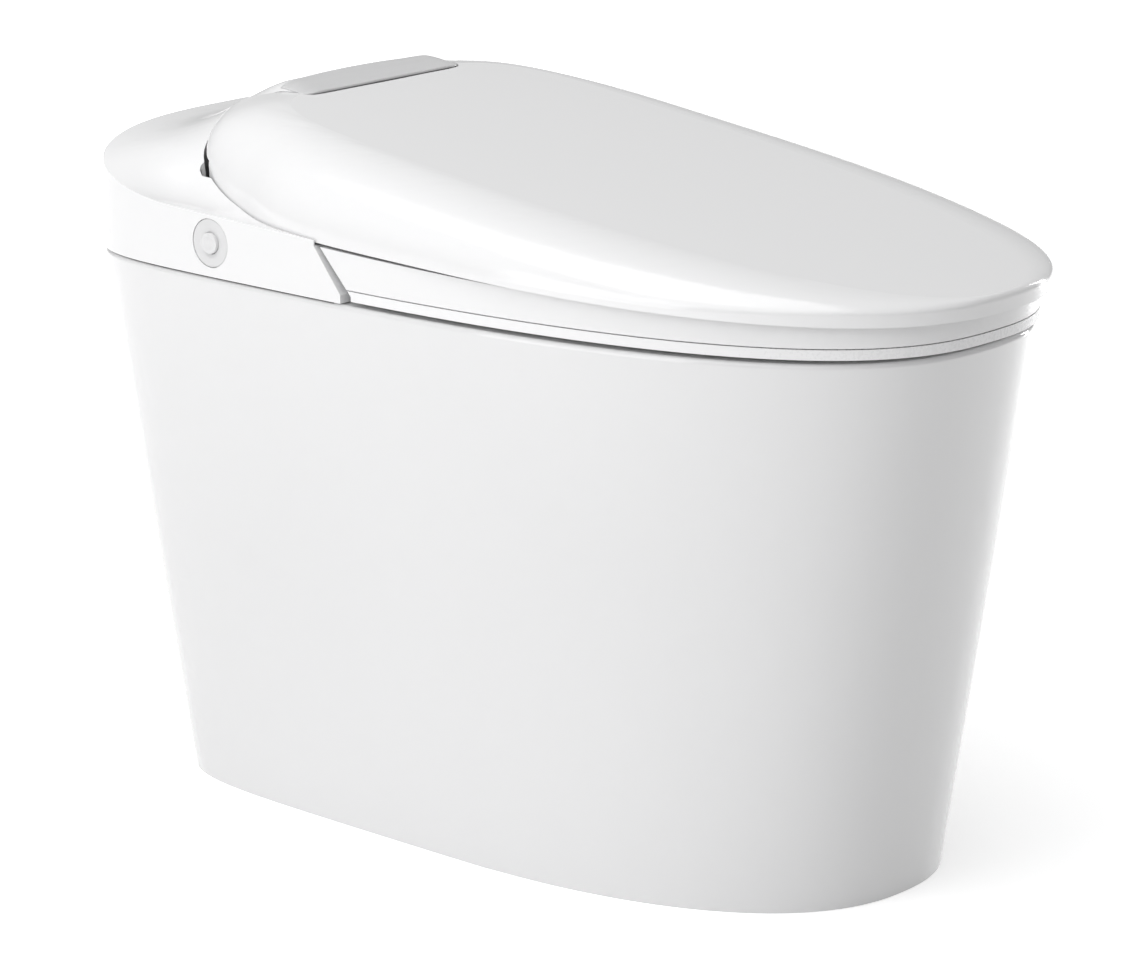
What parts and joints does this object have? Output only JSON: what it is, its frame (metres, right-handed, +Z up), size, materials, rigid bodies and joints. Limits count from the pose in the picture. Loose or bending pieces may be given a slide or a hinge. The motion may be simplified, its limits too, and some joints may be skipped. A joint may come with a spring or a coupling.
{
  "type": "smart toilet with heated seat",
  "caption": "Tankless floor-standing smart toilet: tapered glazed pan, heated seat and soft-close lid, rear housing with side flush dial, wash wands, dryer and pump inside.",
  "frame": {"origin": "centre of the drain outlet, on the floor", "axes": "+Z up, -Y towards the front of the bowl, +X to the right of a person sitting on it facing -Y seen from behind; the dial is on the -X side"},
  "size_m": [0.4051, 0.716, 0.5193],
  "materials": {
    "glazed_china": "glazed white vitreous china, smooth and glossy",
    "lid_white": "polished white urea plastic",
    "liner_white": "white plastic, fine satin",
    "seat_white": "polished white seat plastic",
    "seat_under": "white plastic, satin",
    "housing_white": "polished white housing plastic",
    "accent_grey": "satin silver-grey painted trim",
    "dial_white": "pale grey-white dial plastic, satin",
    "button_white": "pale white button plastic",
    "base_plastic": "moulded light grey nylon",
    "duct_plastic": "moulded grey plastic",
    "fan_plastic": "moulded black plastic",
    "gear_plastic": "cream acetal plastic",
    "nozzle_white": "white wand plastic, polished",
    "motor_steel": "plated steel can",
    "pin_steel": "ground stainless steel",
    "damper_black": "black damper body",
    "rubber_grey": "soft translucent grey rubber",
    "rubber_black": "black sealing rubber",
    "filter_black": "activated-carbon block",
    "heater_film": "copper-coloured heating film",
    "coil_alloy": "finned heating element",
    "board_green": "green circuit board with black parts",
    "case_black": "black electronics box",
    "supply_alloy": "folded aluminium case",
    "pump_grey": "glass-filled grey pump body",
    "heater_tank": "stainless instant water heater",
    "inlet_brass": "nickel-free brass connector",
    "filter_mesh": "fine stainless mesh",
    "hose_clear": "reinforced translucent hose"
  },
  "bodies": {
    "pan": {"ceramic_pan": "glazed_china", "rear_housing": "housing_white", "accent_panel": "accent_grey", "housing_base": "base_plastic", "dial_mount": "base_plastic", "nozzle_cradle": "base_plastic", "flap_bracket": "base_plastic", "service_tray": "base_plastic", "odour_duct": "duct_plastic", "dryer_duct": "duct_plastic", "odour_fan_case": "duct_plastic", "dryer_case": "duct_plastic", "bolt_bushes": "fan_plastic", "nozzle_motors": "motor_steel", "air_pump": "motor_steel", "hinge_pins": "pin_steel", "base_bolts": "pin_steel", "base_nuts": "pin_steel", "cover_screws": "pin_steel", "hinge_dampers": "damper_black", "drain_seal": "rubber_black", "deck_gasket": "rubber_black", "flush_pipes": "rubber_black", "odour_filter": "filter_black", "dryer_heater": "coil_alloy", "control_board": "board_green", "dial_board": "board_green", "board_case": "case_black", "case_cover": "case_black", "mains_gland": "case_black", "power_supply": "supply_alloy", "flush_pump": "pump_grey", "flush_valve": "pump_grey", "wash_valve": "pump_grey", "wash_divider": "pump_grey", "water_heater": "heater_tank", "water_inlet": "inlet_brass", "inlet_filter": "filter_mesh", "inlet_hose": "hose_clear", "heater_hose": "hose_clear", "wash_hose": "hose_clear"},
    "lid": {"lid_shell": "lid_white", "lid_liner": "liner_white", "lid_bumpers": "rubber_grey"},
    "seat": {"seat_top": "seat_white", "seat_base": "seat_under", "seat_bumpers": "rubber_grey", "seat_screws": "pin_steel", "seat_heater": "heater_film"},
    "dial": {"dial_ring": "dial_white"},
    "button": {"flush_button": "button_white"},
    "rear_wand": {"rear_nozzle": "nozzle_white"},
    "front_wand": {"front_nozzle": "nozzle_white"},
    "rear_gear": {"rear_pinion": "gear_plastic"},
    "front_gear": {"front_pinion": "gear_plastic"},
    "flap": {"dryer_flap": "duct_plastic"},
    "dryer_rotor": {"dryer_fan": "fan_plastic"},
    "odour_rotor": {"odour_fan": "fan_plastic"},
    "pump_rotor": {"pump_impeller": "fan_plastic"}
  },
  "joints": [
    {"name": "seat_hinge", "type": "hinge", "parent": "pan", "child": "seat", "pos_m": [0, 0.116, 0.477], "axis": [-1, 0, 0], "range_deg": [0, 95]},
    {"name": "lid_hinge", "type": "hinge", "parent": "seat", "child": "lid", "pos_m": [0, 0.116, 0.477], "axis": [1, 0, 0], "range_deg": [-95, 0]},
    {"name": "dial_turn", "type": "hinge", "parent": "pan", "child": "dial", "pos_m": [-0.201, 0.1306, 0.4253], "axis": [1, 0, 0], "range_deg": [-30, 30], "stiffness_Nm_per_rad": 0.06},
    {"name": "button_press", "type": "slide", "parent": "pan", "child": "button", "axis": [1, 0, 0], "range_m": [0, 0.0025], "stiffness_N_per_m": 900, "springref_m": -0.001},
    {"name": "rear_wand_slide", "type": "slide", "parent": "pan", "child": "rear_wand", "axis": [0, -0.9962, -0.0872], "range_m": [0, 0.1]},
    {"name": "front_wand_slide", "type": "slide", "parent": "pan", "child": "front_wand", "axis": [0, -0.9962, -0.0872], "range_m": [0, 0.1]},
    {"name": "rear_gear_spin", "type": "hinge", "parent": "pan", "child": "rear_gear", "pos_m": [-0.012, 0.05077, 0.42819], "axis": [-1, 0, 0], "range_deg": [0, 1279.2]},
    {"name": "front_gear_spin", "type": "hinge", "parent": "pan", "child": "front_gear", "pos_m": [0.012, 0.05077, 0.42819], "axis": [-1, 0, 0], "range_deg": [0, 1279.2]},
    {"name": "flap_swing", "type": "hinge", "parent": "pan", "child": "flap", "pos_m": [0, 0.0092, 0.4175], "axis": [-1, 0, 0], "range_deg": [0, 60]},
    {"name": "dryer_fan_spin", "type": "hinge", "parent": "pan", "child": "dryer_rotor", "pos_m": [-0.112, 0.242, 0.42], "axis": [0, 0, 1], "continuous": true},
    {"name": "odour_fan_spin", "type": "hinge", "parent": "pan", "child": "odour_rotor", "pos_m": [0.112, 0.242, 0.42], "axis": [0, 0, 1], "continuous": true},
    {"name": "pump_spin", "type": "hinge", "parent": "pan", "child": "pump_rotor", "pos_m": [-0.045, 0.092, 0.334], "axis": [1, 0, 0], "continuous": true}
  ],
  "couplings": [
    {"joint": "rear_gear_spin", "follows": "rear_wand_slide", "rad_per_m": 222.22},
    {"joint": "front_gear_spin", "follows": "front_wand_slide", "rad_per_m": 222.22}
  ]
}
